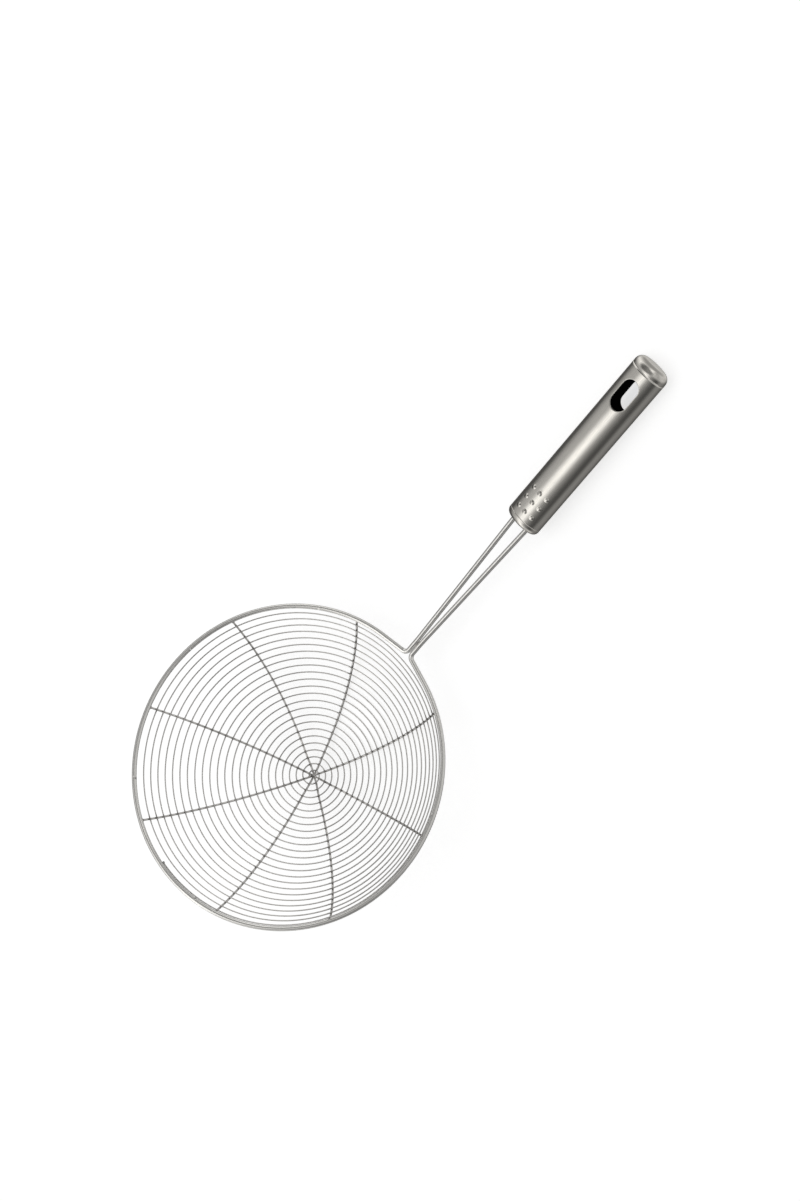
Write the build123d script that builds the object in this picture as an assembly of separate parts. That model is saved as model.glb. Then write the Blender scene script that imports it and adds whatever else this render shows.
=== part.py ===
"""Wire spider skimmer: a hoop and two legs bent from one wire, four ribs that cross under one
long spiral wire, and a hollow oval handle with a hanging slot.

The bowl is laid out in the rim's own plane, with X along the handle and Z out of the bowl. The
finished skimmer is then tipped so that its bowl and the tail of its handle stand on Z = 0.
"""
from build123d import *
from math import acos, asin, atan2, ceil, cos, degrees, hypot, pi, radians, sin, sqrt
import os

# Rim hoop, neck and legs
rim_diameter = 200.0
frame_wire = 3.0
neck_from_rim = 0.2
neck_gap = 0.3
neck_bend_radius = 3.5
neck_length = 11.8
leg_bend_radius = 12.0
leg_spacing_at_handle = 10.6
leg_length = 112.0
leg_insert = 18.0
handle_rise = 23.6

# Bowl
bowl_depth = 57.0
rib_wire = 1.3
spiral_wire = 0.8
touch = 0.02
rib_count = 4
rib_stack_flat = 2.6
rib_stack_reach = 16.0
rib_end_turns = [1.6, 1.6, 0.0, -0.2, -0.3, 0.9, 4.6, 4.4]
spiral_start_reach = 2.0
spiral_turns = 23.9458
pitch_ease_share = -0.105

# Handle
handle_width = 23.3
handle_height = 15.8
handle_length = 121.8
handle_wall = 0.9
front_edge_share = 0.64
tail_edge_share = 0.93
cap_skirt = 1.2
cap_lip = 2.0
cap_fit = 0.05
leg_hole_fit = 0.06
slot_length = 20.1
slot_width = 10.8
slot_from_tail = 22.7
bump_from_front = 9.5
bump_pitch = 7.05
bump_row_pitch = 5.7
bump_diameter = 3.2
bump_height = 0.7
bump_rows = 3
bump_columns = 3

# Welds
rib_weld_radius = 1.2
rib_weld_drop = 0.5
neck_weld_length = 5.0
neck_weld_height = 2.3
leg_weld_size = 0.8
spiral_weld_radius = 0.9

overrun = 1.0
underside_points = 160

# Rim and bowl, worked out
hoop_radius = (rim_diameter - frame_wire) / 2
neck_reach = rim_diameter / 2 + neck_from_rim
neck_half_gap = (frame_wire + neck_gap) / 2
rise = radians(handle_rise)
spoke_angle = 2 * pi / (2 * rib_count)
first_spoke = pi - spoke_angle / 2
rib_seat = (rib_wire + spiral_wire) / 2 + touch
bowl_radius = (hoop_radius ** 2 + bowl_depth ** 2) / (2 * bowl_depth)


def bowl_point(reach, angle, lift):
    """A point at a height over the ball through the ribs' centre lines and the rim's.

    Reach is the distance along the ball from its lowest point, and angle the direction round it.
    """
    lean = reach / bowl_radius
    ball = bowl_radius - lift
    out = ball * sin(lean)
    return Vector(out * cos(angle), out * sin(angle), bowl_radius - bowl_depth - ball * cos(lean))


def rim_distance(reach, lift):
    """Distance of such a point from the rim's centre line."""
    point = bowl_point(reach, 0, lift)
    return hypot(hoop_radius - point.X, point.Z)


def solve(function, low, high):
    """Root of a function that changes sign once between two values, by halving."""
    sign = function(low) > 0
    for _ in range(60):
        middle = (low + high) / 2
        if (function(middle) > 0) == sign:
            low = middle
        else:
            high = middle
    return (low + high) / 2


def arc_pair(start, start_way, end, end_way):
    """Two arcs that run smoothly from one point and direction to another."""
    chord = end - start
    ways = start_way + end_way
    spread = 2 * (1 - start_way.dot(end_way))
    along = chord.dot(ways)
    reach = chord.dot(chord) / (along + sqrt(along ** 2 + spread * chord.dot(chord)))
    joint = (start + end + (start_way - end_way) * reach) / 2
    joint_way = ((end - end_way * reach) - (start + start_way * reach)).normalized()
    first = Edge.make_tangent_arc(start, start_way, joint)
    second = Edge.make_tangent_arc(joint, joint_way, end)
    return [first, second]


def smooth_path(points, ways):
    """One path of arc pairs through the points, with the given directions there."""
    edges = []
    for i in range(len(points) - 1):
        edges += arc_pair(points[i], ways[i], points[i + 1], ways[i + 1])
    return Wire(edges)


def round_wire(path, diameter):
    section = Plane(origin=path @ 0, z_dir=path % 0) * Circle(diameter / 2)
    return sweep(section, path=path)


# Handle axis: from the neck, rising from the rim's plane
neck_point = Vector(neck_reach, 0, 0)
handle_way = Vector(cos(rise), 0, sin(rise))
handle_up = Vector(-sin(rise), 0, cos(rise))
side_way = Vector(0, 1, 0)
handle_front = neck_point + handle_way * leg_length
handle_plane = Plane(origin=handle_front, x_dir=handle_way, z_dir=handle_up)
leg_half_spacing = leg_spacing_at_handle / 2
leg_slant = (leg_half_spacing - neck_half_gap) / (leg_length - neck_length)


def leg_point(along):
    """A point on the +Y leg, at a distance along the handle's axis from the neck."""
    out = neck_half_gap + leg_slant * max(along - neck_length, 0)
    return neck_point + handle_way * along + side_way * out


def mirrored(point):
    return Vector(point.X, -point.Y, point.Z)


def frame_path():
    """Leg, neck, hoop, neck and leg, as one bent wire."""
    far = hypot(neck_reach, neck_half_gap)
    tangent_angle = atan2(neck_half_gap, neck_reach) + acos(hoop_radius / far)
    hoop_end = Vector(hoop_radius * cos(tangent_angle), hoop_radius * sin(tangent_angle), 0)
    corners = [
        leg_point(leg_length + leg_insert),
        leg_point(neck_length),
        leg_point(0),
        hoop_end,
    ]
    radii = [leg_bend_radius, neck_bend_radius]
    leg = FilletPolyline(*corners, radius=radii)
    back_leg = FilletPolyline(*[mirrored(corner) for corner in reversed(corners)], radius=radii[::-1])
    hoop = ThreePointArc(hoop_end, Vector(-hoop_radius, 0, 0), mirrored(hoop_end))
    return Wire(leg.edges() + hoop.edges() + back_leg.edges())


def stack_drop(reach):
    """Share of a rib's step down at the crossing: one in the middle, nothing further out."""
    past = (abs(reach) - rib_stack_flat) / (rib_stack_reach - rib_stack_flat)
    return (1 + cos(pi * min(max(past, 0), 1))) / 2


rim_reach = bowl_radius * asin(hoop_radius / bowl_radius)
rib_end_reach = solve(lambda reach: rim_distance(reach, 0) - frame_wire / 2 - touch, rim_reach, 0)
rib_point_shares = [0.8, 0.6, 0.42, 0.28]


def spoke_way(spoke, reach):
    """Direction round the bowl of a half rib, which leans round more and more to its end."""
    return first_spoke + spoke_angle * spoke + radians(rib_end_turns[spoke]) * reach / rib_end_reach


def rib_point(level, reach):
    """A point of a rib, on its first half for a positive reach and on the other for a negative."""
    spoke = level if reach >= 0 else level + rib_count
    drop = level * (rib_wire + touch) * stack_drop(reach)
    return bowl_point(abs(reach), spoke_way(spoke, abs(reach)), -drop)


def rib(level):
    """A rib wire from rim to rim, and below the ribs that it crosses in the middle."""
    middle = (rib_stack_flat + rib_stack_reach) / 2
    half = [rib_end_reach] + [rib_end_reach * share for share in rib_point_shares]
    half += [rib_stack_reach, middle, rib_stack_flat]
    reaches = half + [0] + [-reach for reach in reversed(half)]
    step = rib_wire / 100
    points = [rib_point(level, reach) for reach in reaches]
    ways = [(rib_point(level, reach - step) - rib_point(level, reach + step)).normalized() for reach in reaches]
    return round_wire(smooth_path(points, ways), rib_wire)


# Spiral
spiral_rim_gap = (frame_wire + spiral_wire) / 2 + touch
spiral_end_reach = solve(lambda reach: rim_distance(reach, rib_seat) - spiral_rim_gap, rim_reach, 0)


def spiral_point(turn):
    """A point of the spiral's centre line, after a number of turns, over the ribs."""
    share = turn / spiral_turns
    eased = share + pitch_ease_share * share * (1 - share)
    reach = spiral_start_reach + (spiral_end_reach - spiral_start_reach) * eased
    return bowl_point(reach, first_spoke - 2 * pi * turn, rib_seat)


def spiral_path():
    """The spiral in quarter turns, each from rib to rib."""
    quarters = ceil(4 * spiral_turns)
    turns = [min(quarter / 4, spiral_turns) for quarter in range(quarters + 1)]
    step = 1 / 4000
    points = [spiral_point(turn) for turn in turns]
    ways = [(spiral_point(turn + step) - spiral_point(turn - step)).normalized() for turn in turns]
    return smooth_path(points, ways)


def least_gap(points_a_turn=40):
    """Least distance between neighbouring turns of the wire, measured on points of its path."""
    count = ceil(spiral_turns * points_a_turn)
    points = [spiral_point(spiral_turns * i / count) for i in range(count + 1)]
    nearest = rim_diameter
    for i, point in enumerate(points):
        for other in points[i + points_a_turn // 2:i + 3 * points_a_turn // 2]:
            nearest = min(nearest, (point - other).length)
    return nearest - spiral_wire


# Handle pieces, made along X from the front face of the handle, with the oval's tightest bend
oval_bend = handle_height ** 2 / (2 * handle_width)
front_edge = front_edge_share * oval_bend
tail_edge = tail_edge_share * oval_bend
tube_start = front_edge + cap_skirt
tube_end = handle_length - tail_edge - cap_skirt
tube_length = tube_end - tube_start


def oval_bar(start, length, inset):
    """Oval bar along X, smaller than the handle's outside by the inset all round."""
    face = Plane.YZ * Ellipse(handle_width / 2 - inset, handle_height / 2 - inset)
    return Pos(start, 0, 0) * extrude(face, amount=length)


def bump_balls(shrink):
    """Balls whose tops stand out of the handle as grip bumps, three rows of three."""
    radius = ((bump_diameter / 2) ** 2 + bump_height ** 2) / (2 * bump_height)
    balls = []
    for row in range(bump_rows):
        y = (row - (bump_rows - 1) / 2) * bump_row_pitch
        angle = asin(2 * y / handle_width)
        z = handle_height / 2 * cos(angle)
        way = Vector(0, sin(angle) * handle_height, cos(angle) * handle_width).normalized()
        seat = Vector(0, y, z) - way * (radius - bump_height)
        for column in range(bump_columns):
            x = bump_from_front + column * bump_pitch
            balls.append(Pos(x, seat.Y, seat.Z) * Sphere(radius - shrink))
    return balls


def handle_tube():
    outside = oval_bar(tube_start, tube_length, 0) + bump_balls(0)
    inside = oval_bar(tube_start - overrun, tube_length + 2 * overrun, handle_wall) + bump_balls(handle_wall)
    slot = Pos(handle_length - slot_from_tail, 0, 0) * extrude(
        SlotOverall(slot_length, slot_width), amount=handle_height, both=True
    )
    return outside - inside - slot


def end_cap(outer_radius):
    """Closed end with its face at X = 0, a rounded edge and a lip that fits inside the tube."""
    cap_length = outer_radius + cap_skirt
    shell = oval_bar(0, cap_length, 0)
    shell = fillet(shell.edges().group_by(Axis.X)[0], outer_radius)
    hollow = oval_bar(handle_wall, cap_length + cap_lip, handle_wall)
    hollow = fillet(hollow.edges().group_by(Axis.X)[0], outer_radius - handle_wall)
    lip_outside = handle_wall + cap_fit
    lip = oval_bar(cap_length, cap_lip, lip_outside)
    lip_bore = oval_bar(0, cap_length + cap_lip + overrun, lip_outside + handle_wall)
    step = oval_bar(cap_length - handle_wall, handle_wall, handle_wall)
    return (shell - hollow) + (lip + step - lip_bore)


def front_cap():
    cap = handle_plane.location * end_cap(front_edge)
    for side in (1, -1):
        cap -= leg_bar(side, frame_wire / 2 + leg_hole_fit, -overrun, tube_start + overrun)
    return cap


def leg_bar(side, radius, start, end):
    """Round bar along a leg, between two distances behind the handle's front face."""
    near = leg_point(leg_length + start)
    far = leg_point(leg_length + end)
    if side < 0:
        near = mirrored(near)
        far = mirrored(far)
    align = (Align.CENTER, Align.CENTER, Align.MIN)
    return Plane(origin=near, z_dir=far - near) * Cylinder(radius, (far - near).length, align=align)


def tail_cap():
    tail = handle_plane.location * Pos(handle_length, 0, 0) * Rotation(0, 0, 180)
    return tail * end_cap(tail_edge)


def leg_weld(side):
    """Weld collar round a leg, on the inside face of the front cap."""
    start = handle_wall + touch
    end = start + leg_weld_size
    hole = frame_wire / 2 + touch
    collar = leg_bar(side, hole + leg_weld_size, start - overrun, end)
    collar = fillet(collar.edges().group_by(Axis(handle_front, handle_way))[-1], leg_weld_size / 2)
    collar -= leg_bar(side, hole, start - 2 * overrun, end + overrun)
    return collar - handle_plane.location * oval_bar(start - 2 * overrun, 2 * overrun, 0)


def rim_room():
    """The rim's ring and the clearance round it, which the welds leave free."""
    return Torus(hoop_radius, frame_wire / 2 + touch)


def rib_weld(rib_solid, spoke):
    """Weld bead under the joint of a rib's end and the rim."""
    place = bowl_point(rib_end_reach, spoke_way(spoke, rib_end_reach), -rib_weld_drop)
    return Pos(place) * Sphere(rib_weld_radius) - rim_room() - rib_solid


def spiral_weld(turn, *joined):
    """Weld bead round an end of the spiral, against what it is welded to."""
    bead = Pos(spiral_point(turn)) * Sphere(spiral_weld_radius)
    for solid in joined:
        bead -= solid
    return bead


def neck_weld(frame):
    """Weld in the groove between the two legs, where they part."""
    middle = neck_point + handle_way * (neck_length - neck_weld_length / 2)
    block = Box(neck_weld_length, 2 * neck_half_gap, neck_weld_height)
    return Plane(origin=middle, x_dir=handle_way, z_dir=handle_up) * block - frame


def bowl_underside():
    """Points of the ribs and the spiral, each with its wire's radius."""
    points = []
    for level in range(rib_count):
        for i in range(-underside_points, underside_points + 1):
            points.append((rib_point(level, rib_end_reach * i / underside_points), rib_wire / 2))
    count = ceil(spiral_turns * underside_points)
    for i in range(count + 1):
        points.append((spiral_point(spiral_turns * i / count), spiral_wire / 2))
    return points


def rest_tilt():
    """Angle that stands the skimmer on its bowl and on the tail of its handle."""
    tail = handle_front + handle_way * tube_end - handle_up * (handle_height / 2)
    underside = bowl_underside()

    def tail_over_bowl(angle):
        heights = [point.Z * cos(angle) - point.X * sin(angle) - radius for point, radius in underside]
        return tail.Z * cos(angle) - tail.X * sin(angle) - min(heights)

    return solve(tail_over_bowl, 0, pi / 3)


def build_parts():
    """All the pieces by name, in the rim's own plane."""
    frame = round_wire(frame_path(), frame_wire)
    spiral_line = spiral_path()
    spiral = round_wire(spiral_line, spiral_wire)
    ribs = [rib(level) for level in range(rib_count)]
    parts = {"frame_wire": frame, "spiral_wire": spiral}
    for level, wire in enumerate(ribs):
        parts[f"rib_wire_{level + 1}"] = wire
    for spoke in range(2 * rib_count):
        parts[f"rib_weld_{spoke + 1}"] = rib_weld(ribs[spoke % rib_count], spoke)
    parts["spiral_inner_weld"] = spiral_weld(0, spiral, ribs[0])
    parts["spiral_outer_weld"] = spiral_weld(spiral_turns, spiral, rim_room())
    parts["neck_weld"] = neck_weld(frame)
    parts["handle_tube"] = handle_plane.location * handle_tube()
    parts["handle_front_cap"] = front_cap()
    parts["handle_tail_cap"] = tail_cap()
    parts["leg_weld_left"] = leg_weld(1)
    parts["leg_weld_right"] = leg_weld(-1)
    print("frame wire length", frame_path().length)
    print("spiral wire length", spiral_line.length)
    print("spiral least gap to itself", least_gap())
    return parts


def place_on_ground(parts):
    """Tips the pieces to their rest, with the origin under the middle of the whole."""
    tilt = rest_tilt()
    tipped = {name: Rotation(0, degrees(tilt), 0) * shape for name, shape in parts.items()}
    box = Compound(children=[solid for shape in tipped.values() for solid in shape.solids()]).bounding_box()
    middle = box.center()
    seat = Pos(-middle.X, -middle.Y, -box.min.Z)
    print("rest tilt in degrees", degrees(tilt))
    print("whole size", box.size)
    print("rim centre at", seat.position)
    return {name: seat * shape for name, shape in tipped.items()}


os.makedirs("parts", exist_ok=True)
for name, shape in place_on_ground(build_parts()).items():
    export_step(shape, f"parts/{name}.step")
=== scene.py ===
"""Looks of the wire skimmer: smooth wires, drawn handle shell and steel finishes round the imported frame."""
import bpy
import numpy as np
from math import asin, atan2, ceil, cos, hypot, pi, radians, sin
from mathutils import Matrix, Vector


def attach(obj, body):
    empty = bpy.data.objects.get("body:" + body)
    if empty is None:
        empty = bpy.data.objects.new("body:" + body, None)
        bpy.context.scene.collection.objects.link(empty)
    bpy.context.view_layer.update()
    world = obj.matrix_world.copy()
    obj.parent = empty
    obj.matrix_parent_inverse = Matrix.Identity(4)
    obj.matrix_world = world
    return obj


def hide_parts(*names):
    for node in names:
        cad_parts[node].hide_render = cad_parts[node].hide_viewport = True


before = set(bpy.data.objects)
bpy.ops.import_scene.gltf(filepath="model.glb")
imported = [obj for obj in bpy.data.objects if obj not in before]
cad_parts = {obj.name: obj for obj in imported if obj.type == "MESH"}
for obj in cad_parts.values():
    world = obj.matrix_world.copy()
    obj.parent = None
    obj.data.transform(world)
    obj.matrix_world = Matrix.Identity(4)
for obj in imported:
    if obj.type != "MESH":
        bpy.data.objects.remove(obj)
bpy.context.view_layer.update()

# Sizes of the skimmer, in metres
mm = 0.001
rim_diameter = 200 * mm
frame_wire = 3.0 * mm
neck_reach = 100.2 * mm
neck_gap = 0.3 * mm
neck_bend_radius = 3.5 * mm
neck_length = 11.8 * mm
leg_bend_radius = 12.0 * mm
leg_spacing_at_handle = 10.6 * mm
leg_length = 112.0 * mm
leg_insert = 18.0 * mm
handle_rise = radians(23.6)
bowl_depth = 57.0 * mm
rib_wire = 1.3 * mm
spiral_wire = 0.8 * mm
touch = 0.02 * mm
rib_count = 4
rib_stack_flat = 2.6 * mm
rib_stack_reach = 16.0 * mm
rib_end_turns = np.radians([1.6, 1.6, 0.0, -0.2, -0.3, 0.9, 4.6, 4.4])
spiral_start_reach = 2.0 * mm
spiral_turns = 23.9458
pitch_ease_share = -0.105
handle_width = 23.3 * mm
handle_height = 15.8 * mm
handle_length = 121.8 * mm
handle_wall = 0.9 * mm
front_edge_share = 0.64
tail_edge_share = 0.93
cap_skirt = 1.2 * mm
slot_length = 20.1 * mm
slot_width = 10.8 * mm
slot_from_tail = 22.7 * mm
slot_lip_radius = 0.5 * mm
slot_lip_depth = 2.2 * mm
slot_lip_wall = 0.7 * mm
bump_from_front = 9.5 * mm
bump_pitch = 7.05 * mm
bump_row_pitch = 5.7 * mm
bump_diameter = 3.2 * mm
bump_height = 0.42 * mm
bump_rows = 3
bump_columns = 3
rib_weld_radius = 1.2 * mm
rib_weld_drop = 0.5 * mm
neck_weld_length = 5.0 * mm
spiral_weld_radius = 0.9 * mm
rib_bead_shares = np.array([1.0, 1.05, 0.85])
spiral_bead_shares = np.array([0.9, 1.0, 0.8])
neck_bead_shares = np.array([0.32, 0.36])
leg_bead_shares = np.array([0.2, 0.7, 0.7])
bead_ripple_shares = 0.07, 0.05
wire_end_round_share = 0.4
crossing_width = 0.9 * mm
crossing_swell_share = 0.12
inner_lip_share = 0.5
# Depth, in lip radii, of the first lip ring painted dark: painted shade starts just past the roll.
lip_shade_share = 1.15
rest_tilt = radians(26.13403)
rim_centre = np.array([-116.866, 0.0, 62.1491]) * mm

# Places worked out from the sizes and the frame
hoop_radius = (rim_diameter - frame_wire) / 2
neck_half_gap = (frame_wire + neck_gap) / 2
spoke_angle = pi / rib_count
first_spoke = pi - spoke_angle / 2
rib_seat = (rib_wire + spiral_wire) / 2 + touch
bowl_radius = (hoop_radius ** 2 + bowl_depth ** 2) / (2 * bowl_depth)
bowl_middle = np.array([0.0, 0.0, bowl_radius - bowl_depth])
tilt_turn = np.array([
    [cos(rest_tilt), 0.0, sin(rest_tilt)],
    [0.0, 1.0, 0.0],
    [-sin(rest_tilt), 0.0, cos(rest_tilt)],
])
handle_way = np.array([cos(handle_rise), 0.0, sin(handle_rise)])
handle_up = np.array([-sin(handle_rise), 0.0, cos(handle_rise)])
side_way = np.array([0.0, 1.0, 0.0])
neck_point = np.array([neck_reach, 0.0, 0.0])
handle_front = neck_point + handle_way * leg_length
oval_bend = handle_height ** 2 / (2 * handle_width)
front_edge = front_edge_share * oval_bend
tail_edge = tail_edge_share * oval_bend
tube_start = front_edge + cap_skirt
tube_end = handle_length - tail_edge - cap_skirt
slot_middle = handle_length - slot_from_tail
leg_slant = (leg_spacing_at_handle / 2 - neck_half_gap) / (leg_length - neck_length)

# Steps of the meshes
wire_sides, frame_sides, wire_end_rings = 12, 16, 4
rib_steps, spiral_steps, hoop_steps = 150, 180, 400
frame_step, bend_step = 2.0 * mm, 0.25 * mm
halvings, law_steps = 60, 2000
bump_steps, grip_steps, window_steps, tail_steps = 100, 30, 41, 4
crown_steps, flank_steps = 84, 24
flat_rings, flat_crowding, roll_rings = 10, 1.5, 8
cap_bend_rings, skirt_rings, face_rings, cap_sides = 19, 4, 9, 160
bead_sides, bead_rings = 24, 15
# The skin is cut open in windows round the slots, where rings that follow the slots fill it
window_side = 8.4 * mm
window_margin = 3.2 * mm
same_place = 0.01 * mm


def at_rest(points):
    """Points of the rim's plane, tipped by the rest tilt and carried to the rim's centre."""
    return points @ tilt_turn.T + rim_centre


def on_handle(along, side, up):
    """Points of the handle: front face plus along, side and up times the handle's three ways."""
    local = along[..., None] * handle_way + side[..., None] * side_way + up[..., None] * handle_up
    return at_rest(handle_front + local)


def unit(vectors):
    return vectors / np.linalg.norm(vectors, axis=-1, keepdims=True)


def run_along(path):
    """Length along a line of points, from its first to each."""
    return np.concatenate([[0], np.cumsum(np.linalg.norm(np.diff(path, axis=0), axis=1))])


# Meshes
def make_piece(name, points, faces, lay=None, marks=None):
    """A piece from corner points and quads or triangles, with its points' lay and marks as UV maps."""
    mesh = bpy.data.meshes.new(name)
    mesh.from_pydata(points.reshape(-1, 3).tolist(), [], faces)
    mesh.polygons.foreach_set("use_smooth", np.ones(len(mesh.polygons), bool))
    corners = np.empty(len(mesh.loops), np.int32)
    mesh.loops.foreach_get("vertex_index", corners)
    if marks is not None:
        marks = np.stack([marks, 0 * marks], -1)
    for layer, places in (("lay", lay), ("heat", marks)):
        if places is not None:
            mesh.uv_layers.new(name=layer).data.foreach_set("uv", places[corners].ravel())
    mesh.update()
    piece = bpy.data.objects.new(name, mesh)
    bpy.context.scene.collection.objects.link(piece)
    return piece


def quads(rows, columns, wrap_rows=False, wrap_columns=False):
    """Corner numbers of a grid's quads: each joins a point, its neighbours and the one across."""
    row = np.arange(rows if wrap_rows else rows - 1)[:, None]
    column = np.arange(columns if wrap_columns else columns - 1)[None, :]
    next_row, next_column = (row + 1) % rows, (column + 1) % columns
    corners = [row * columns + column, next_row * columns + column,
               next_row * columns + next_column, row * columns + next_column]
    return np.stack(np.broadcast_arrays(*corners), -1).reshape(-1, 4)


def pole_fans(rows, columns):
    """Triangles from two poles, whose points follow the grid's, to its first and its last row."""
    column = np.arange(columns)
    after, last = (column + 1) % columns, (rows - 1) * columns
    pole = np.full(columns, rows * columns)
    first_fan = np.stack([pole, column, after], -1)
    last_fan = np.stack([pole + 1, last + after, last + column], -1)
    return first_fan.tolist() + last_fan.tolist()


def tube(name, path, up, radius, sides, heat=None):
    """A wire: circles of the radius, square to the path, with small rounded ends closed by a point.

    Point = path + radius * (cos a * up + sin a * side), where up is made square to the path. At each
    end the radius falls by r * share * (1 - sin b) and the ring lies r * share * (1 - cos b) inside.
    """
    radius = np.broadcast_to(np.asarray(radius, float), len(path)).copy()
    way = unit(np.gradient(path, axis=0))
    bend = np.linspace(pi / 2, 0, wire_end_rings)[1:-1]
    cut = wire_end_round_share * radius[0]
    head = path[0] + way[0] * (cut * (1 - np.cos(bend[::-1])))[:, None]
    tail = path[-1] - way[-1] * (cut * (1 - np.cos(bend)))[:, None]
    inner = slice(1, -1)
    start, stop = path[0] + way[0] * cut, path[-1] - way[-1] * cut
    path = np.vstack([path[:1], head, start, path[inner], stop, tail, path[-1:]])
    narrow = cut * (1 - np.sin(bend))
    radius = np.concatenate([
        [radius[0] - cut], radius[0] - narrow[::-1], radius[:1],
        radius[inner], radius[-1:], radius[-1] - narrow, [radius[-1] - cut],
    ])
    count = len(bend) + 1
    way = np.vstack([np.repeat(way[:1], count, 0), way, np.repeat(way[-1:], count, 0)])
    up = np.vstack([np.repeat(up[:1], count, 0), up, np.repeat(up[-1:], count, 0)])
    up = unit(up - (up * way).sum(1, keepdims=True) * way)
    side = np.cross(way, up)
    around = np.linspace(0, 2 * pi, sides, endpoint=False)
    ring = np.cos(around)[None, :, None] * up[:, None] + np.sin(around)[None, :, None] * side[:, None]
    grid = path[:, None] + radius[:, None, None] * ring
    points = np.vstack([grid.reshape(-1, 3), path[:1], path[-1:]])
    faces = quads(len(path), sides, wrap_columns=True)[:, ::-1].tolist() + pole_fans(len(path), sides)
    lay = np.stack(np.broadcast_arrays(run_along(path)[:, None], (around * radius.max())[None, :]), -1)
    lay = np.vstack([lay.reshape(-1, 2), lay[0, :1], lay[-1, :1]])
    marks = None
    if heat is not None:
        heat = np.concatenate([np.full(count, heat[0]), heat, np.full(count, heat[-1])])
        marks = np.concatenate([np.repeat(heat, sides), heat[:1], heat[-1:]])
    return make_piece(name, points, faces, lay, marks)


# Bowl
def bowl_points(reach, angle, lift):
    """Points over the bowl's ball: its middle plus (ball radius - lift) towards the lean and angle."""
    lean = reach / bowl_radius
    way = np.stack([np.sin(lean) * np.cos(angle), np.sin(lean) * np.sin(angle), -np.cos(lean)], -1)
    return bowl_middle + (bowl_radius - lift)[..., None] * way


def reach_at_distance(distance, lift):
    """Reach along the bowl at which a point at that lift is at a distance from the rim's centre line."""
    low, high = 0.0, bowl_radius * asin(hoop_radius / bowl_radius)
    for _ in range(halvings):
        middle = (low + high) / 2
        ball, lean = bowl_radius - lift, middle / bowl_radius
        gap = hypot(hoop_radius - ball * sin(lean), bowl_middle[2] - ball * cos(lean))
        low, high = (middle, high) if gap > distance else (low, middle)
    return (low + high) / 2


rib_end_reach = reach_at_distance(frame_wire / 2 + touch, 0.0)
spiral_end_reach = reach_at_distance((frame_wire + spiral_wire) / 2 + touch, rib_seat)


def spoke_ways(spoke, reach):
    """Directions of a half rib round the bowl: its spoke's, plus its end turn times reach by its end's."""
    return first_spoke + spoke_angle * spoke + rib_end_turns[spoke] * reach / rib_end_reach


def rib_path(level):
    """A rib from rim to rim, lowered in the middle by a cosine step under the ribs that it crosses."""
    reach = rib_end_reach * np.linspace(1, -1, 2 * rib_steps + 1)
    spoke = np.where(reach >= 0, level, level + rib_count)
    past = np.clip((abs(reach) - rib_stack_flat) / (rib_stack_reach - rib_stack_flat), 0, 1)
    drop = level * (rib_wire + touch) * (1 + np.cos(pi * past)) / 2
    return bowl_points(abs(reach), spoke_ways(spoke, abs(reach)), -drop), abs(reach), spoke


def spiral_reach(turn):
    """Reach of the spiral after a number of turns: it grows evenly, eased by a parabola."""
    share = turn / spiral_turns
    eased = share + pitch_ease_share * share * (1 - share)
    return spiral_start_reach + (spiral_end_reach - spiral_start_reach) * eased


def turns_at(reach):
    """Turns at which the spiral has a reach, read back from its own law."""
    turn = np.linspace(0, spiral_turns, law_steps)
    return np.interp(reach, spiral_reach(turn), turn)


def make_bowl():
    """Four ribs and the spiral, marked darker where they are welded to each other."""
    pieces = []
    for level in range(rib_count):
        path, reach, spoke = rib_path(level)
        pitch = (spiral_end_reach - spiral_start_reach) / spiral_turns
        behind = (first_spoke - spoke_ways(spoke, reach)) / (2 * pi)
        miss = turns_at(reach) - behind
        miss = (miss - np.round(miss)) * pitch
        heat = np.exp(-(miss / crossing_width) ** 2)
        up = unit(bowl_middle - path)
        node = f"rib_wire_{level + 1}"
        piece = tube(f"{node}_drawn", at_rest(path), up @ tilt_turn.T, rib_wire / 2, wire_sides, heat)
        pieces.append((piece, [node], "mesh_steel"))
    turn = np.linspace(0, spiral_turns, ceil(spiral_turns * spiral_steps))
    reach = spiral_reach(turn)
    angle = first_spoke - 2 * pi * turn
    path = bowl_points(reach, angle, np.full(len(turn), rib_seat))
    spokes = np.arange(2 * rib_count)[:, None]
    off = (angle[None] - spoke_ways(spokes, reach[None]) + pi) % (2 * pi) - pi
    off = abs(off).min(0) * np.sin(reach / bowl_radius) * bowl_radius
    heat = np.exp(-(off / crossing_width) ** 2)
    up = unit(bowl_middle - path)
    radius = spiral_wire / 2 * (1 + crossing_swell_share * heat)
    piece = tube("spiral_wire_drawn", at_rest(path), up @ tilt_turn.T, radius, wire_sides, heat)
    pieces.append((piece, ["spiral_wire"], "mesh_steel"))
    return pieces


# Frame
def leg_point(along):
    """Middle of the leg on the left at a length from the neck: it runs straight, then slants out."""
    out = neck_half_gap + leg_slant * max(along - neck_length, 0)
    return neck_point + handle_way * along + side_way * out


def rounded(corners, radii, step):
    """Points along straight runs joined by arcs that touch both runs at each inner corner.

    An arc's centre lies on the corner's bisector, at radius / sin(half the corner's angle).
    """
    points = [corners[:1]]
    for before, corner, after, radius in zip(corners, corners[1:], corners[2:], radii):
        back, ahead = unit(before - corner), unit(after - corner)
        half = 0.5 * np.arccos(back @ ahead)
        centre = corner + unit(back + ahead) * radius / sin(half)
        start = corner + back * radius / np.tan(half)
        turn = np.linspace(0, pi - 2 * half, max(4, ceil((pi - 2 * half) * radius / step)))
        arm, tangent = start - centre, -back * radius
        points.append(centre + np.cos(turn)[:, None] * arm + np.sin(turn)[:, None] * tangent)
    points.append(corners[-1:])
    return np.vstack(points)


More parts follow.
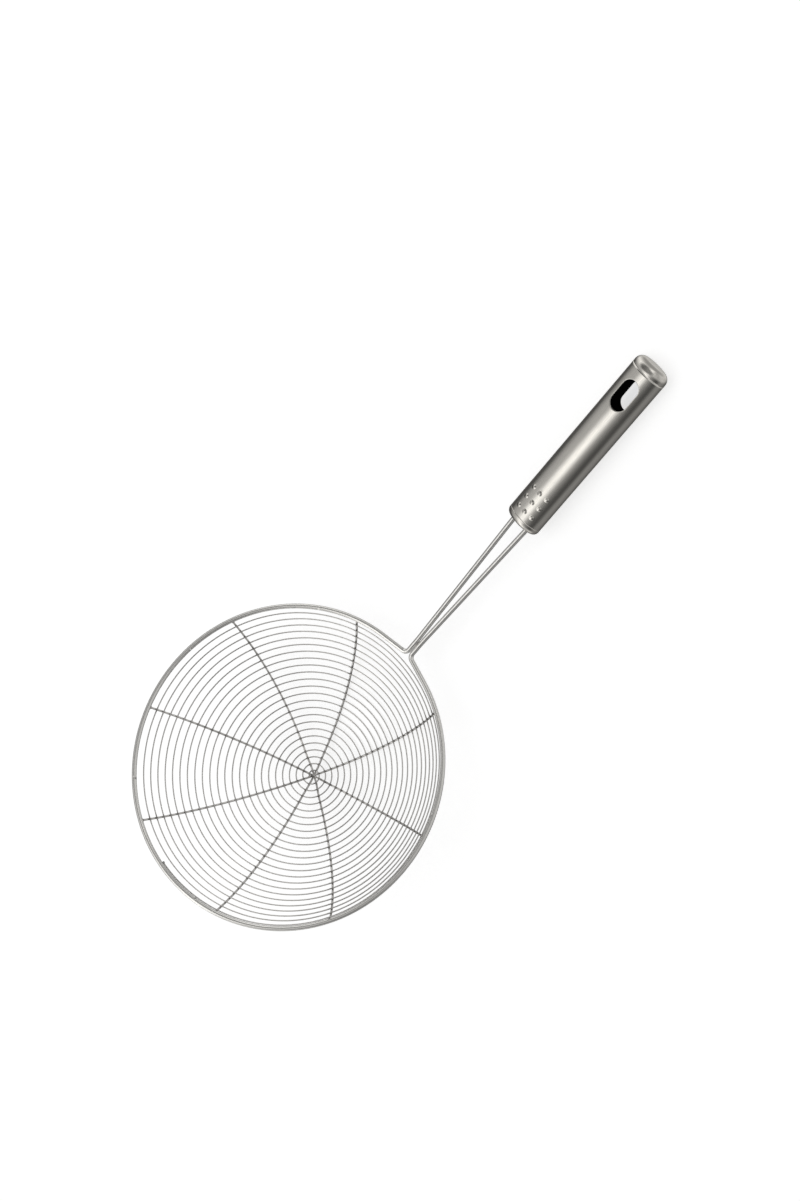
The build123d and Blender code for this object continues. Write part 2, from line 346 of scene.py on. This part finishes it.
def frame_path():
    """Leg, hoop and leg as one line of points, placed from the rim's middle."""
    far = hypot(neck_reach, neck_half_gap)
    touching = atan2(neck_half_gap, neck_reach) + np.arccos(hoop_radius / far)
    hoop_end = hoop_radius * np.array([cos(touching), sin(touching), 0.0])
    corners = np.array([leg_point(leg_length + leg_insert), leg_point(neck_length), leg_point(0.0), hoop_end])
    leg = rounded(corners, [leg_bend_radius, neck_bend_radius], bend_step)[:-1]
    angle = np.linspace(touching, 2 * pi - touching, hoop_steps)
    hoop = hoop_radius * np.stack([np.cos(angle), np.sin(angle), 0 * angle], -1)
    return np.vstack([leg, hoop, (leg * [1, -1, 1])[::-1]])


def make_frame():
    """The rim and both legs as one bent wire, finely divided."""
    path = frame_path()
    length = run_along(path)
    even = np.unique(np.concatenate([length, np.arange(0, length[-1], frame_step)]))
    path = np.stack([np.interp(even, length, path[:, i]) for i in range(3)], -1)
    up = np.broadcast_to(unit(handle_up + np.array([0.0, 0.0, 1.0])), path.shape)
    piece = tube("frame_wire_drawn", at_rest(path), up @ tilt_turn.T, frame_wire / 2, frame_sides)
    return [(piece, ["frame_wire"], "frame_steel")]


# Handle
def oval(around, inset=0.0):
    """Side and up of the handle's oval, moved inwards along its own normals by an inset."""
    turn = np.broadcast_to(around, np.broadcast(around, inset).shape)
    normal = unit(np.stack([np.cos(turn) / handle_width, np.sin(turn) / handle_height], -1))
    return (handle_width / 2 * np.cos(turn) - inset * normal[..., 0],
            handle_height / 2 * np.sin(turn) - inset * normal[..., 1])


def bump_rise(along, side):
    """Height of the grip bumps: domes h (1 - (r/R)^2)^1.5 in rows and columns."""
    rise = np.zeros(np.broadcast(along, side).shape)
    for row in range(bump_rows):
        for column in range(bump_columns):
            away = np.hypot(along - bump_from_front - column * bump_pitch,
                            side - (row - (bump_rows - 1) / 2) * bump_row_pitch)
            rise += np.clip(1 - (2 * away / bump_diameter) ** 2, 0, 1) ** 1.5
    return rise * bump_height


def slot_sheet(along, side, top, inset):
    """Rings of the skin round a slot, from a window's edge to the lip that is turned in.

    Each edge point has a core point on the slot's middle line. The rings close in on the slot's
    outline, then follow the lip: outline + r (1 - sin b) outwards and r (1 - cos b) deep. The inner
    skin, with an inset, has its lip the lip's thickness further out and ends at the same depth.
    """
    half_core = (slot_length - slot_width) / 2
    core = np.clip(along - slot_middle, -half_core, half_core) + slot_middle
    out = np.stack([along - core, side], -1)
    distance = np.linalg.norm(out, axis=-1)
    out = out / distance[:, None]
    outline = slot_width / 2 + (slot_lip_wall if inset else 0.0)
    bend_radius = slot_lip_radius * (inner_lip_share if inset else 1)
    share = np.linspace(1, 0, flat_rings)[:, None] ** flat_crowding
    flat = outline + bend_radius + (distance[None] - outline - bend_radius) * share
    bend = np.linspace(0, pi / 2, roll_rings)[1:]
    rolled = outline + bend_radius * (1 - np.sin(bend))
    reach = np.vstack([flat, np.repeat(rolled[:, None], len(along), 1), np.full((2, len(along)), outline)])
    sink = np.concatenate([np.zeros(len(flat)), bend_radius * (1 - np.cos(bend)),
                           [bend_radius * lip_shade_share, slot_lip_depth - inset]])
    x = core[None] + reach * out[None, :, 0]
    y = reach * out[None, :, 1]
    half_width, half_height = handle_width / 2 - inset, handle_height / 2 - inset
    level = half_height * np.sqrt(1 - (y / half_width) ** 2) - sink[:, None]
    # Rings deeper than the lip's roll are marked, to be painted dark: painted shade down the slot's walls.
    return on_handle(x, y, top * level), x, y, sink > bend_radius


def handle_skin(inset):
    """One skin of the tube as points, faces, lay, shaded points and the rings at its slots and ends."""
    low, high = slot_middle - slot_length / 2 - window_margin, slot_middle + slot_length / 2 + window_margin
    bumps_end = bump_from_front + (bump_columns - 1) * bump_pitch + bump_diameter / 2
    along = np.unique(np.concatenate([
        np.linspace(tube_start, bumps_end, bump_steps), np.linspace(bumps_end, low, grip_steps),
        np.linspace(low, high, window_steps), np.linspace(high, tube_end, tail_steps),
    ]).round(9))
    edge = np.arccos(2 * window_side / handle_width)
    crown = np.linspace(edge, pi - edge, crown_steps + 1)
    flank = np.linspace(pi - edge, pi + edge, flank_steps + 1)[1:-1]
    around = np.concatenate([crown, flank, crown + pi, flank + pi])
    plain_side, plain_up = oval(around)
    rise = bump_rise(along[:, None], plain_side[None]) * (np.sin(around) > 0) * (inset == 0)
    half_width, half_height = handle_width / 2 - inset, handle_height / 2 - inset
    normal = unit(np.stack([np.cos(around) / half_width, np.sin(around) / half_height], -1))
    side = half_width * np.cos(around) + rise * normal[:, 0]
    up = half_height * np.sin(around) + rise * normal[:, 1]
    x = np.broadcast_to(along[:, None], side.shape)
    rows, columns = side.shape
    faces = quads(rows, columns, wrap_columns=True)[:, ::-1]
    row, column = faces[:, 3] // columns, faces[:, 3] % columns
    low_row, high_row = np.searchsorted(along, np.array([low, high]) - same_place)
    second = len(crown) + len(flank)
    open_column = (column < crown_steps) | ((column >= second) & (column < second + crown_steps))
    faces = faces[~((row >= low_row) & (row < high_row) & open_column)]
    arc = np.concatenate([[0], np.cumsum(np.hypot(np.diff(plain_side), np.diff(plain_up)))])
    points = [on_handle(x, side, up).reshape(-1, 3)]
    lay = [np.stack([x, np.broadcast_to(arc, x.shape)], -1).reshape(-1, 2)]
    all_faces, count, lips = [faces], rows * columns, []
    # Every point of the inner skin is marked, to be painted dark: painted shade inside the tube.
    shaded = [np.full(rows * columns, inset > 0)]
    window = np.arange(low_row, high_row + 1)
    for first, top in ((0, 1.0), (second, -1.0)):
        across = np.arange(first, first + crown_steps + 1)
        loop = np.concatenate([
            window * columns + across[0], window[-1] * columns + across[1:],
            window[-2::-1] * columns + across[-1], window[0] * columns + across[-2:0:-1],
        ])
        sheet, x_ring, y_ring, deep = slot_sheet(x.ravel()[loop], side.ravel()[loop], top, inset)
        size = (len(sheet) - 1) * len(loop)
        number = np.concatenate([loop, count + np.arange(size)])
        all_faces.append(number[quads(len(sheet), len(loop), wrap_columns=True)])
        points.append(sheet[1:].reshape(-1, 3))
        # Lip rings past the roll, and all rings of the inner skin, are marked for painted shade.
        shaded.append(np.repeat(deep[1:] | (inset > 0), len(loop)))
        lay.append(np.stack([x_ring[1:], arc[across].mean() - top * y_ring[1:]], -1).reshape(-1, 2))
        count += size
        lips.append(number[-len(loop):])
    ends = [np.arange(columns), (rows - 1) * columns + np.arange(columns)]
    return np.vstack(points), np.vstack(all_faces), np.vstack(lay), np.concatenate(shaded), lips, ends


def bridge(first, second):
    """Quads between two closed rings of corner numbers."""
    return np.stack([first, np.roll(first, -1), np.roll(second, -1), second], -1)


def make_handle_tube():
    """The handle's shell: outer and inner skins joined at the slots' lips and at both ends."""
    points, faces, lay, shaded, lips, ends = handle_skin(0.0)
    in_points, in_faces, in_lay, in_shaded, in_lips, in_ends = handle_skin(handle_wall)
    shift = len(points)
    joined = [faces, in_faces[:, ::-1] + shift]
    joined += [bridge(inner + shift, outer) for outer, inner in zip(lips, in_lips)]
    joined += [bridge(in_ends[0] + shift, ends[0]), bridge(ends[1], in_ends[1] + shift)]
    # Marks for painted shade: the inner skin and the lips' deep walls are painted dark.
    inside = np.concatenate([shaded, in_shaded]).astype(float)
    piece = make_piece("handle_tube_drawn", np.vstack([points, in_points]), np.vstack(joined).tolist(),
                       np.vstack([lay, in_lay]), inside)
    return [(piece, ["handle_tube"], "handle_steel")]


def make_cap(name, node, edge, flip):
    """A closed end: rings from the seam round an edge to a flat face with its middle point.

    A ring at depth r (1 - sin b) from the face has the oval drawn in by r (1 - cos b). The
    inner rings follow a wall's thickness inside, back to the seam.
    """
    bend = np.linspace(0, pi / 2, cap_bend_rings)
    skirt = np.linspace(edge + cap_skirt, edge, skirt_rings)[:-1]
    depth = np.concatenate([skirt, edge * (1 - np.sin(bend))])
    inset = np.concatenate([0 * skirt, edge * (1 - np.cos(bend))])
    share = np.linspace(1, 0, face_rings)[1:-1]
    around = np.linspace(0, 2 * pi, cap_sides, endpoint=False)
    side, up = oval(around[None], inset[:, None])
    side = np.vstack([side, side[-1:] * share[:, None]])
    up = np.vstack([up, up[-1:] * share[:, None]])
    depth = np.concatenate([depth, 0 * share])
    thin = np.array([[edge + cap_skirt], [handle_wall]])
    in_side, in_up = oval(around[None], np.array([[handle_wall], [edge]]))
    side, up = np.vstack([side, in_side[::-1]]), np.vstack([up, in_up[::-1]])
    depth = np.concatenate([depth, thin[::-1, 0]])
    along = np.broadcast_to(depth[:, None], side.shape)
    middle = np.array([0.0, handle_wall])
    if flip:
        along, middle = handle_length - along, handle_length - middle
    points = np.vstack([on_handle(along, side, up).reshape(-1, 3), on_handle(middle, 0 * middle, 0 * middle)])
    size, outer = len(around), len(depth) - 2
    faces = quads(outer, size, wrap_columns=True)
    ring = np.arange(size)
    first, seam, face_in = ring, ring + (outer + 1) * size, ring + outer * size
    faces = np.vstack([faces, bridge(first, seam), bridge(seam, face_in)])
    outer_ring = ring + (outer - 1) * size
    fan = np.stack([outer_ring, np.full(size, len(points) - 2), np.roll(outer_ring, -1)], -1)
    in_fan = np.stack([face_in, np.roll(face_in, -1), np.full(size, len(points) - 1)], -1)
    order = slice(None, None, -1) if flip else slice(None)
    corners = faces[:, order].tolist() + fan[:, order].tolist() + in_fan[:, order].tolist()
    reach = np.concatenate([[0], np.cumsum(np.hypot(np.diff(depth), np.diff(side[:, 0])))])
    lay = np.stack(np.broadcast_arrays(reach[:, None], around[None] * handle_width / 2), -1).reshape(-1, 2)
    lay = np.vstack([lay, lay[-2:]])
    # The cap's inner rings and inner middle point are marked, to be painted dark: painted shade inside the
    # closed tube.
    inside = np.concatenate([np.zeros(outer * size), np.ones(2 * size), [0.0, 1.0]])
    piece = make_piece(name, points, corners, lay, inside)
    return [(piece, [node], "handle_steel")]


# Welds
def make_bead(name, node, centre, ways, radii, waves):
    """A weld bead: an oval ball with ripples, r = 1 + k sin(3a + p) sin(2b) + m cos(5a - p) sin(b)."""
    turn = np.linspace(0, 2 * pi, bead_sides, endpoint=False)
    lean = np.linspace(0, pi, bead_rings)[1:-1]
    a, b = np.meshgrid(turn, lean)
    k, m = bead_ripple_shares
    swell = 1 + k * np.sin(3 * a + waves) * np.sin(2 * b) + m * np.cos(5 * a - waves) * np.sin(b)
    local = np.stack([np.sin(b) * np.cos(a), np.sin(b) * np.sin(a), np.cos(b)], -1) * swell[..., None]
    grid = centre + (local * radii) @ ways
    poles = centre + np.array([[0, 0, radii[2]], [0, 0, -radii[2]]]) @ ways
    points = np.vstack([grid.reshape(-1, 3), poles])
    faces = quads(len(lean), len(turn), wrap_columns=True).tolist() + pole_fans(len(lean), len(turn))
    return [(make_piece(name, at_rest(points), faces), [node], "weld_steel")]


def make_welds():
    """Beads under the ribs' ends, at the spiral's two ends, in the neck and round the legs."""
    pieces = []
    for spoke in range(2 * rib_count):
        reach = np.array(rib_end_reach)
        place = bowl_points(reach, spoke_ways(spoke, reach), np.array(-rib_weld_drop))
        up = unit(bowl_middle - place)
        around = unit(np.cross(np.array([0, 0, 1.0]), place))
        ways = np.stack([around, np.cross(up, around), up])
        radii = rib_weld_radius * rib_bead_shares
        pieces += make_bead(f"rib_bead_{spoke + 1}", f"rib_weld_{spoke + 1}", place, ways, radii, spoke)
    for name, turn in (("spiral_inner", 0.0), ("spiral_outer", spiral_turns)):
        angle = first_spoke - 2 * pi * turn
        place = bowl_points(np.array(spiral_reach(turn)), np.array(angle), np.array(rib_seat))
        radii = spiral_weld_radius * spiral_bead_shares
        pieces += make_bead(f"{name}_bead", f"{name}_weld", place, np.eye(3), radii, turn)
    middle = neck_point + handle_way * (neck_length - neck_weld_length / 2)
    radii = np.concatenate([[neck_weld_length / 2], frame_wire * neck_bead_shares])
    ways = np.stack([handle_way, side_way, handle_up])
    pieces += make_bead("neck_bead", "neck_weld", middle, ways, radii, 1.0)
    for name, hand in (("left", 1), ("right", -1)):
        radii = frame_wire * leg_bead_shares
        place = leg_point(leg_length + handle_wall + radii[0]) * [1, hand, 1]
        pieces += make_bead(f"leg_bead_{name}", f"leg_weld_{name}", place, ways, radii, 2.0 * hand)
    return pieces


# Finishes
class Flow:
    """A value or colour that runs from a node's socket, with arithmetic that adds its nodes."""

    def __init__(self, finish, socket):
        self.finish, self.socket = finish, socket

    def worked(self, operation, first, second):
        return self.finish.node("ShaderNodeMath", {0: first, 1: second}, operation=operation)

    def __add__(self, other):
        return self.worked("ADD", self, other)

    def __radd__(self, other):
        return self.worked("ADD", other, self)

    def __rsub__(self, other):
        return self.worked("SUBTRACT", other, self)

    def __mul__(self, other):
        return self.worked("MULTIPLY", self, other)


class Finish:
    """The nodes of a material, or of the world."""

    def __init__(self, owner):
        self.owner = owner
        owner.use_nodes = True
        self.tree = owner.node_tree
        self.tree.nodes.clear()

    def node(self, kind, inputs=None, output=0, stops=(), **settings):
        """A node with its settings made first, then its sockets filled with values or flows."""
        made = self.tree.nodes.new(kind)
        for key, value in settings.items():
            setattr(made, key, value)
        for number, (place, colour) in enumerate(stops):
            elements = made.color_ramp.elements
            if number == len(elements):
                elements.new(1.0)
            elements[number].position, elements[number].color = place, colour
        for key, value in (inputs or {}).items():
            if isinstance(value, Flow):
                self.tree.links.new(value.socket, made.inputs[key])
            else:
                made.inputs[key].default_value = value
        return Flow(self, made.outputs[output]) if made.outputs else None

    def parts(self, kind, inputs=None, **settings):
        """All outputs of a node, by name."""
        made = self.node(kind, inputs, **settings).socket.node
        return {socket.name: Flow(self, socket) for socket in made.outputs}

    def mix(self, share, first, second):
        return self.node("ShaderNodeMix", {0: share, 6: first, 7: second}, 2, data_type="RGBA")

    def noise(self, where, scale, detail, rough):
        inputs = {"Vector": where, "Scale": scale, "Detail": detail, "Roughness": rough}
        return self.node("ShaderNodeTexNoise", inputs)

    def spread(self, value, low, high, new_low=0.0, new_high=1.0):
        """The value moved from one range to another, and kept inside it."""
        return self.node("ShaderNodeMapRange", {0: value, 1: low, 2: high, 3: new_low, 4: new_high})

    def bump(self, strength, distance, height):
        return self.node("ShaderNodeBump", {"Strength": strength, "Distance": distance, "Height": height})

    def lay(self, name):
        return self.node("ShaderNodeUVMap", uv_map=name)

    def place(self):
        return self.parts("ShaderNodeTexCoord")["Object"]

    def close(self, inputs):
        shader = self.node("ShaderNodeBsdfPrincipled", inputs)
        self.node("ShaderNodeOutputMaterial", {"Surface": shader})
        return self.owner


# Streaks lie along the lay: their noise is stretched by this share. Scales are in cycles per metre
streak_stretch_share = 0.02
streak_detail, streak_rough, streak_range = 4.0, 0.6, (0.3, 0.7)
smear_scale, smear_detail, smear_rough, smear_range = 38.0, 3.0, 0.55, (0.35, 0.7)
speck_scale, speck_detail, speck_rough, speck_share = 900.0, 2.0, 0.5, 0.4
light_share, dark_share = 1.06, 0.86
streak_share, smear_share = 0.55, 0.3
smear_dulls, mark_dulls = 0.05, 0.15
drawn_bump, drawn_depth = 0.08, 0.03 * mm
tint_scale, tint_detail, tint_rough = 700.0, 2.0, 0.5
tint_stops = [(0.3, (0.36, 0.33, 0.29, 1)), (0.5, (0.47, 0.45, 0.43, 1)), (0.7, (0.36, 0.38, 0.42, 1))]
grain_scale, grain_detail, grain_rough, grain_range = 2600.0, 3.0, 0.6, (0.3, 0.7)
grain_bump, grain_depth = 0.35, 0.1 * mm
weld_dull, weld_duller = 0.32, 0.5


def steel(name, tone, dull, drawn, streak_scale, metal=1.0, mark_colour=None, mark_share=0.75, painted_dark_inside=False):
    """Drawn or brushed steel: fine streaks along the lay, soft smears, and a darker colour where it is
    marked.

    Where the inside is painted dark, the marked parts are black, matt and without reflection: painted shade
    for the unlit inside of a closed tube.
    """
    finish = Finish(bpy.data.materials.new(name))
    scale = (streak_scale * streak_stretch_share, streak_scale, 1.0)
    along = finish.node("ShaderNodeMapping", {"Vector": finish.lay("lay"), "Scale": scale})
    streaks = finish.noise(along, 1.0, streak_detail, streak_rough)
    smears = finish.noise(finish.place(), smear_scale, smear_detail, smear_rough)
    specks = finish.noise(finish.place(), speck_scale, speck_detail, speck_rough)
    fine = finish.spread(streaks, *streak_range)
    patchy = finish.spread(smears, *smear_range)
    light = tuple(part * light_share for part in tone) + (1.0,)
    dark = tuple(part * dark_share for part in tone) + (1.0,)
    colour = finish.mix(fine * streak_share + patchy * smear_share, light, dark)
    rough = dull + fine * drawn + patchy * smear_dulls
    if mark_colour:
        # Marked parts take the mark colour: darker where wires cross, and painted shade inside the handle.
        mark = finish.parts("ShaderNodeSeparateXYZ", {0: finish.lay("heat")})["X"]
        colour = finish.mix(mark * mark_share, colour, mark_colour + (1.0,))
        rough = rough + mark * mark_dulls
    return finish.close({
        "Base Color": colour, "Roughness": rough, "Metallic": 1 - mark if painted_dark_inside else metal,
        "Specular IOR Level": 0.0 if painted_dark_inside else 0.5,
        "Normal": finish.bump(drawn_bump, drawn_depth, fine + specks * speck_share),
    })


def weld_steel(name):
    """Weld metal: pebbled, straw and blue tinted, duller than the wires."""
    finish = Finish(bpy.data.materials.new(name))
    tint = finish.noise(finish.place(), tint_scale, tint_detail, tint_rough)
    grain = finish.noise(finish.place(), grain_scale, grain_detail, grain_rough)
    return finish.close({
        "Base Color": finish.node("ShaderNodeValToRGB", {0: tint}, stops=tint_stops),
        "Roughness": finish.spread(grain, *grain_range, weld_dull, weld_duller),
        "Metallic": 1.0, "Normal": finish.bump(grain_bump, grain_depth, grain),
    })


# Stage
camera_place = np.array([0.17126, -0.33227, 1.04164])
camera_right = np.array([0.745265, -0.617258, -0.252136])
camera_up = np.array([0.665022, 0.715473, 0.214114])
camera_lens, sensor_width = 54.225, 36.0
# The picture's middle lies this much off the lens's, in heights of the picture
camera_shift = (-0.5 / 1201, 0.6 / 1201)
floor_half_width = 6.0
floor_colour = (0.8, 0.8, 0.8, 1.0)
floor_glow = 0.62
white = (1.0, 1.0, 1.0, 1.0)
world_fill = 0.42
key_place, key_size, key_power = (-0.3, 0.3, 1.6), 1.6, 3.4
dome_radius, dome_sides, dome_rows, dome_hole = 3.5, 96, 65, 0.02
dome_strength = 1.6
dome_tint = (1.0, 0.985, 0.955)
# Grey of the studio by its angle from overhead towards the camera's side, in degrees
dome_greys = [
    (-180, 0.10), (-135, 0.09), (-100, 0.05), (-85, 0.05), (-72, 0.13), (-60, 0.26), (-48, 0.32), (-36, 0.33),
    (-28, 0.46), (-20, 0.80), (-12, 0.96), (-4, 0.92), (2, 0.66), (8, 0.40), (14, 0.25), (24, 0.15),
    (38, 0.07), (52, 0.045), (62, 0.07), (74, 0.15), (90, 0.18), (116, 0.15), (140, 0.09), (180, 0.10),
]
# The side beyond the tail: where along x it starts and is full, and its gain
dome_east = (0.05, 0.45, 0.25)
# Lighter parts: way, full and no effect in degrees from it, gain
dome_lobes = [
    ((0.42, 0.91, 0.20), 18, 41, 0.34),
    ((-0.97, -0.26, 0.20), 18, 41, 0.30),
    ((0.75, 0.35, -0.50), 40, 62, 0.14),
]
# Darker parts: way, full and no effect in degrees from it, share of the light that is lost
dome_cards = [
    ((0.45, 0.33, 0.83), 25, 38, 0.85),
    ((0.93, 0.33, -0.15), 22, 46, 0.50),
]


def make_camera():
    """The photo's camera, given in the rim's own plane and tipped to rest with it."""
    data = bpy.data.cameras.new("camera")
    data.lens, data.sensor_width = camera_lens, sensor_width
    data.shift_x, data.shift_y = camera_shift
    camera = bpy.data.objects.new("camera", data)
    right, up = Vector(tilt_turn @ camera_right), Vector(tilt_turn @ camera_up)
    axes = Matrix((right, up, right.cross(up))).transposed()
    camera.matrix_world = Matrix.Translation(Vector(at_rest(camera_place))) @ axes.to_4x4()
    bpy.context.scene.collection.objects.link(camera)
    bpy.context.scene.camera = camera


def make_key():
    """One large soft lamp overhead, turned to the origin, that isn't seen in reflections."""
    data = bpy.data.lights.new("key", "AREA")
    data.shape, data.size, data.energy = "DISK", key_size, key_power
    lamp = bpy.data.objects.new("key", data)
    lamp.location = key_place
    lamp.rotation_mode = "QUATERNION"
    lamp.rotation_quaternion = (-Vector(key_place)).to_track_quat("-Z", "Y")
    lamp.visible_glossy = False
    bpy.context.scene.collection.objects.link(lamp)


def looks_straight(finish):
    """One for rays from the camera, by a mirror or through glass, and none for scattered light."""
    rays = finish.parts("ShaderNodeLightPath")
    seen = rays["Is Camera Ray"] + rays["Is Glossy Ray"] + rays["Is Transmission Ray"]
    return finish.node("ShaderNodeMath", {0: seen, 1: 1.0}, operation="MINIMUM")


def make_floor():
    """A pale floor that takes the shadow and glows a little to whoever looks at it."""
    span = floor_half_width
    corners = np.array([[-span, -span, 0], [span, -span, 0], [span, span, 0], [-span, span, 0]])
    floor = make_piece("floor", corners, [[0, 1, 2, 3]])
    finish = Finish(bpy.data.materials.new("floor_look"))
    diffuse = finish.node("ShaderNodeBsdfDiffuse", {"Color": floor_colour})
    glow = finish.node("ShaderNodeEmission", {"Color": looks_straight(finish), "Strength": floor_glow})
    both = finish.node("ShaderNodeAddShader", {0: diffuse, 1: glow})
    finish.node("ShaderNodeOutputMaterial", {"Surface": both})
    floor.data.materials.append(finish.owner)
    floor.visible_glossy = False


def make_dome():
    """A ball round the studio in greys, seen by reflections alone.

    A soft white strip overhead, mid grey beyond it, dark low on the camera's side and at the horizon.
    """
    turn = np.linspace(0, 2 * pi, dome_sides, endpoint=False)
    lean = np.linspace(dome_hole, pi - dome_hole, dome_rows)
    a, b = np.meshgrid(turn, lean)
    grid = dome_radius * np.stack([np.sin(b) * np.cos(a), np.sin(b) * np.sin(a), np.cos(b)], -1)
    dome = make_piece("studio_dome", grid, quads(len(lean), len(turn), wrap_columns=True).tolist())
    finish = Finish(bpy.data.materials.new("dome_look"))
    where = finish.parts("ShaderNodeSeparateXYZ", {0: finish.place()})
    x, y, z = (where[axis] * (1 / dome_radius) for axis in "XYZ")

    def near(way, inner, outer):
        """One inside an angle round a way, and none outside another, both in degrees."""
        way = np.array(way) / np.linalg.norm(way)
        along = x * way[0] + y * way[1] + z * way[2]
        return finish.spread(along, cos(radians(outer)), cos(radians(inner)))

    angle = finish.node("ShaderNodeMath", {0: y * -1.0, 1: z}, operation="ARCTAN2")
    stops = [(0.5 + degrees / 360, (grey, grey, grey, 1.0)) for degrees, grey in dome_greys]
    ramp = finish.node("ShaderNodeValToRGB", {0: angle * (0.5 / pi) + 0.5}, stops=stops)
    start, full, gain = dome_east
    extra = finish.spread(x, start, full) * gain
    for *reach, gain in dome_lobes:
        extra = extra + near(*reach) * gain
    level = finish.node("ShaderNodeSeparateColor", {0: ramp}) + extra
    for *reach, loss in dome_cards:
        level = level * (1 - near(*reach) * loss)
    colour = finish.node("ShaderNodeCombineColor", {i: level * part for i, part in enumerate(dome_tint)})
    glow = finish.node("ShaderNodeEmission", {"Color": colour, "Strength": dome_strength})
    finish.node("ShaderNodeOutputMaterial", {"Surface": glow})
    dome.data.materials.append(finish.owner)
    for ray in ("camera", "diffuse", "shadow", "transmission", "volume_scatter"):
        setattr(dome, f"visible_{ray}", False)


def make_world():
    """White where it is looked at, and a soft even fill for scattered light."""
    world = bpy.data.worlds.new("studio")
    bpy.context.scene.world = world
    finish = Finish(world)
    fill = finish.node("ShaderNodeBackground", {"Color": white, "Strength": world_fill})
    backdrop = finish.node("ShaderNodeBackground", {"Color": white})
    both = finish.node("ShaderNodeMixShader", {0: looks_straight(finish), 1: fill, 2: backdrop})
    finish.node("ShaderNodeOutputWorld", {"Surface": both})


# Assembly
finishes = {
    "frame_steel": steel("frame_steel_look", (0.88, 0.875, 0.86), 0.16, 0.10, 6000.0, metal=0.78),
    # The mesh wires are darker and duller where ribs and spiral cross.
    "mesh_steel": steel("mesh_steel_look", (0.80, 0.79, 0.78), 0.22, 0.10, 9000.0, metal=0.9,
                        mark_colour=(0.12, 0.11, 0.10)),
    # The handle's marked parts are painted near black: painted shade inside the closed tube and down its
    # slots' lips.
    "handle_steel": steel("handle_steel_look", (0.70, 0.685, 0.655), 0.15, 0.07, 5200.0,
                          mark_colour=(0.01, 0.01, 0.01), mark_share=1.0, painted_dark_inside=True),
    "weld_steel": weld_steel("weld_steel_look"),
}
pieces = make_frame() + make_bowl() + make_handle_tube()
pieces += make_cap("front_cap_drawn", "handle_front_cap", front_edge, False)
pieces += make_cap("tail_cap_drawn", "handle_tail_cap", tail_edge, True)
pieces += make_welds()
for piece, nodes, slot in pieces:
    piece.data.materials.append(finishes[slot])
    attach(piece, "root")
    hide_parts(*nodes)

make_floor()
make_dome()
make_world()
make_key()
make_camera()
bpy.context.scene.view_settings.view_transform = "Standard"
